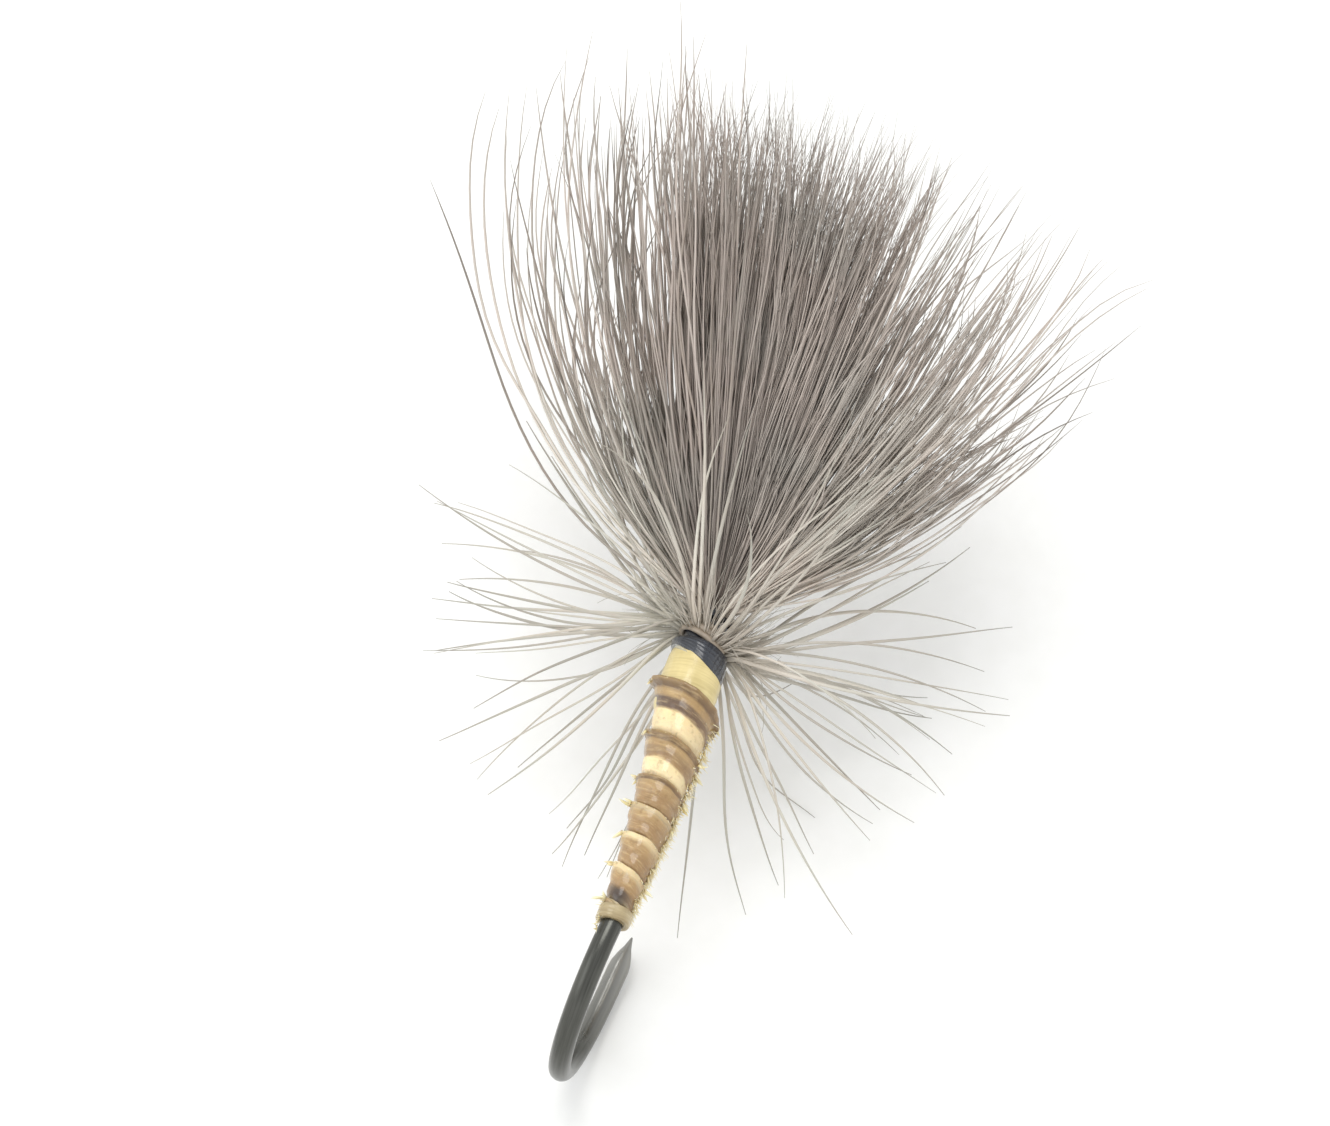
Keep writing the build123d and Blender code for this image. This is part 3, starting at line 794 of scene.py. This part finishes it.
def lock(name, node, bundles, rings, sides, thick, material, tufts=0, pull=0.0):
    """One piece of fur from bundles of hairs, with rings and sides for the mesh of each hair.

    A bundle is its count, headings from and to, lift and its spread, shortest and longest, and
    curl from and to. With tufts, hairs draw together towards their tips in that many small groups,
    by pull.
    """
    heading, lift, length, curl = [], [], [], []
    for count, first, last, up, up_spread, short, long, straight, curled in bundles:
        heading.append(np.radians(draw.uniform(first, last, count) + draw.normal(0, 3, count)))
        lift.append(np.radians(draw.normal(up, up_spread, count)))
        length.append(draw.uniform(short, long, count))
        curl.append(draw.uniform(straight, curled, count))
    heading, lift, length, curl = (np.concatenate(part) for part in (heading, lift, length, curl))
    paths = fur_paths(heading, lift, length, curl, rings)
    if tufts:
        leaders = draw.choice(len(heading), tufts, replace=False)
        apart = (heading[:, None] - heading[leaders]) ** 2 + (lift[:, None] - lift[leaders]) ** 2
        nearest = leaders[np.argmin(apart, axis=1)]
        share = np.linspace(0, 1, rings)[None, :, None]
        drawn = pull * draw.uniform(0.6, 1.1, len(heading))[:, None, None] * share**2
        reached = (length / length[nearest])[:, None, None]
        leader = paths[nearest, :1] + (paths[nearest] - paths[nearest, :1]) * reached
        paths = paths + drawn * (leader - paths)
    off = np.abs(heading - np.radians(WING_LEAN))
    # the hairs at the fan's sides are paler near the root: painted glow of light through the thin hairs
    side_glow = np.clip((off - 0.24) / 0.30 + draw.normal(0, 0.15, len(off)), 0, 1)
    radii = (thick * draw.uniform(0.6, 1.3, len(heading)))[:, None] * hair_profile(rings)[None]
    strands(name, paths, radii, sides, material, "wing_hair", (node,), side_glow=side_glow)


def build_wing():
    """Dense in the middle, with single hairs to be seen on both sides of it."""
    # a bundle: count, heading from, to, lift, spread, shortest, longest, curl from, to
    centre = (
        (1450, -10, 19, 13, 4.5, 7.6, 12.9, -0.1, 0.7),
        (480, -10, 18, 11, 5, 5.5, 10.0, -0.1, 0.6),
        (350, -6, 17, 16, 4, 7.5, 12.4, -0.3, 0.6),
    )
    left = (
        (50, 20, 42, 13, 5, 11.2, 14.6, 0.9, 2.1),
        (110, 20, 46, 10, 4, 3.5, 9.0, 0.8, 1.8),
        (110, 14, 25, 13, 5, 8.8, 13.6, 0.3, 1.2),
    )
    right = (
        (170, -33, -8, 12, 4.5, 8.6, 12.8, 0.2, 1.2),
        (150, -42, -8, 10, 4, 3.5, 8.5, 0.2, 1.0),
        (60, -50, -30, 10, 4, 5.5, 9.5, 0.2, 0.9),
    )
    stray = (
        (26, 21, 48, 14, 6, 9.4, 12.8, 0.6, 2.0),
        (10, -44, -22, 15, 7, 9.6, 12.2, 0.2, 1.2),
        (10, -10, 26, 17, 6, 12.0, 13.6, 0.2, 1.4),
    )
    root = ((460, -30, 46, 13, 9, 1.4, 4.6, 0.2, 1.4),)
    lock("wing_centre_fur", "wing_centre_hair", centre, 15, 3, 0.019, fur, tufts=150, pull=0.9)
    lock("wing_left_fur", "wing_left_hair", left, 24, 4, 0.029, fur, tufts=44, pull=0.55)
    lock("wing_right_fur", "wing_right_hair", right, 20, 4, 0.025, fur, tufts=46, pull=0.9)
    lock("wing_stray_hairs", "wing_guard_hairs", stray, 24, 5, 0.029, guard)
    lock("wing_root_fur", "wing_root", root, 10, 3, 0.020, fur)


# ---------------------------------------------------------------- hidden windings

def dress_hidden_nodes():
    """The thread and butts under the hackle stay as the model has them, with their own materials."""
    looks = {
        "thread_base": pale_thread,
        "thread_bed": black_thread,
        "hackle_butt": stem,
        "wing_butts": fur,
    }
    for node, material in looks.items():
        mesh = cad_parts[node].data
        mesh.materials.clear()
        mesh.materials.append(material)


# ---------------------------------------------------------------- floor, light and camera

def build_floor():
    """A sheet of white paper, just under the fly, in metres."""
    size = 0.6
    gap = 0.03 * MM
    z = FLOOR_Z * MM - gap
    mesh = bpy.data.meshes.new("paper_floor")
    corners = [(-size, -size, z), (size, -size, z), (size, size, z), (-size, size, z)]
    mesh.from_pydata(corners, [], [(0, 1, 2, 3)])
    mesh.materials.append(paper_looks())
    floor = bpy.data.objects.new("paper_floor", mesh)
    bpy.context.scene.collection.objects.link(floor)


def add_area(name, where, size, watts, colour):
    """A round lamp that shines on the fly, placed in metres."""
    lamp = bpy.data.lights.new(name, "AREA")
    lamp.shape, lamp.size, lamp.energy, lamp.color = "DISK", size, watts, colour
    obj = bpy.data.objects.new(name, lamp)
    obj.location = where
    obj.rotation_euler = (-Vector(where)).to_track_quat("-Z", "Y").to_euler()
    bpy.context.scene.collection.objects.link(obj)


def build_light():
    """Soft light from all round, dimmer overhead, with a key and a fill lamp."""
    world = bpy.data.worlds.new("studio")
    bpy.context.scene.world = world
    world.use_nodes = True
    nodes, links = world.node_tree.nodes, world.node_tree.links
    background = nodes["Background"]
    where = nodes.new("ShaderNodeTexCoord")
    split = nodes.new("ShaderNodeSeparateXYZ")
    ramp = nodes.new("ShaderNodeValToRGB")
    links.new(where.outputs["Generated"], split.inputs[0])
    links.new(split.outputs["Z"], ramp.inputs["Fac"])
    links.new(ramp.outputs["Color"], background.inputs["Color"])
    ramp.color_ramp.elements[0].color = (1.0, 1.0, 1.0, 1)
    ramp.color_ramp.elements[1].color = (0.56, 0.57, 0.58, 1)
    background.inputs["Strength"].default_value = 1.34
    add_area("key", (0.08, 0.06, 0.32), 0.20, 0.42, (1.0, 0.99, 0.97))
    add_area("fill", (-0.10, 0.22, 0.16), 0.20, 0.12, (0.97, 0.98, 1.0))


def build_camera():
    """A long lens, from behind and well above, with the fly lying a little on its side."""
    azimuth, elevation, roll, lens, distance = -80.4, 64.0, 7.8, 160.0, 0.138
    a, e = math.radians(azimuth), math.radians(elevation)
    back = Vector((math.sin(a) * math.cos(e), -math.cos(a) * math.cos(e), math.sin(e)))
    centre = (cad_low + cad_high) / 2 + Vector((-0.5, 0.35, 0)) * MM
    camera = bpy.data.objects.new("camera", bpy.data.cameras.new("camera"))
    camera.data.lens = lens
    camera.data.clip_start, camera.data.clip_end = 0.001, 5
    camera.location = centre + back * distance
    level = (-back).to_track_quat("-Z", "Y")
    camera.rotation_euler = (level @ Quaternion((0, 0, 1), math.radians(roll))).to_euler()
    bpy.context.scene.collection.objects.link(camera)
    bpy.context.scene.camera = camera


build_hook()
build_collar()
build_quill()
build_fringe()
build_windings()
build_stem()
build_barbs()
build_wing()
dress_hidden_nodes()
build_floor()
build_light()
build_camera()
bpy.context.scene.view_settings.view_transform = "Standard"
